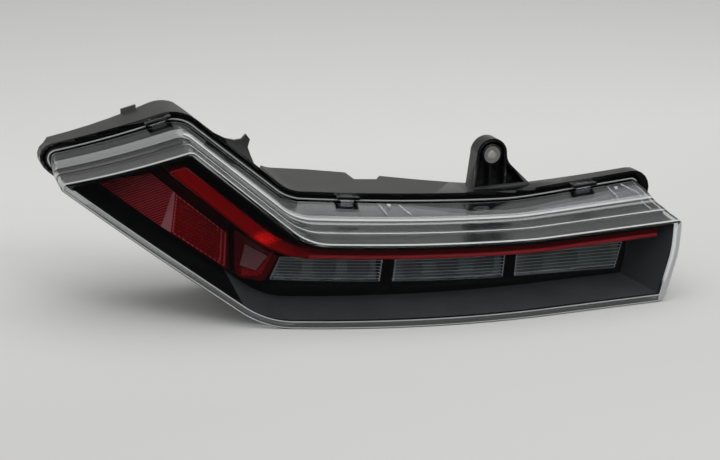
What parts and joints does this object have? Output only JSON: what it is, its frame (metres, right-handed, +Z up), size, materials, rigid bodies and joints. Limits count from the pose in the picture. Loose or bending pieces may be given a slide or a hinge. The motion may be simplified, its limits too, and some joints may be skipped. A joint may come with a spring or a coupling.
{
  "type": "tail light cluster",
  "caption": "Wrap-around car tail light cluster with stepped clear lens, red light blade, reflex reflector, fluted signal panes and a fixing ear.",
  "frame": {"origin": "centre of the bounding box on the surface that the lamp stands on", "axes": "+X along the lamp towards its inner end, +Y into the car body along the mould draw and the fixings, +Z up; the lens faces -Y"},
  "size_m": [0.4526, 0.2051, 0.149],
  "materials": {
    "black_housing": "grained black talc filled polypropylene",
    "clear_lens": "clear moulded lens plastic",
    "sealant": "butyl bead",
    "dark_bezel": "satin black moulding",
    "red_lens": "red moulded lens plastic",
    "red_reflex": "red reflex prisms",
    "plated_steel": "zinc plated steel",
    "black_connector": "glass filled nylon",
    "tin_brass": "tin plated brass",
    "foam": "closed cell foam",
    "soft_cap": "moulded rubber",
    "led_package": "light source package",
    "clear_pane": "clear fluted pane",
    "bright_reflector": "vacuum metallised plastic",
    "circuit_board": "solder mask"
  },
  "bodies": {
    "root": {"housing": "black_housing", "outer_lens": "clear_lens", "lens_seal": "sealant", "bezel": "dark_bezel", "light_blade": "red_lens", "reflex_reflector": "red_reflex", "reflex_carrier": "red_lens", "stop_lens": "red_lens", "signal_pane_left": "clear_pane", "signal_pane_middle": "clear_pane", "signal_pane_right": "clear_pane", "reflector_left": "bright_reflector", "reflector_middle": "bright_reflector", "reflector_right": "bright_reflector", "stop_reflector": "bright_reflector", "board_left": "circuit_board", "board_middle": "circuit_board", "board_right": "circuit_board", "stop_board": "circuit_board", "light_sources": "led_package", "board_screws": "plated_steel", "bezel_screws": "plated_steel", "mounting_bush": "plated_steel", "mounting_studs": "plated_steel", "harness_socket": "black_connector", "socket_pins": "tin_brass", "body_gasket": "foam", "vent_cap": "soft_cap"}
  },
  "joints": []
}
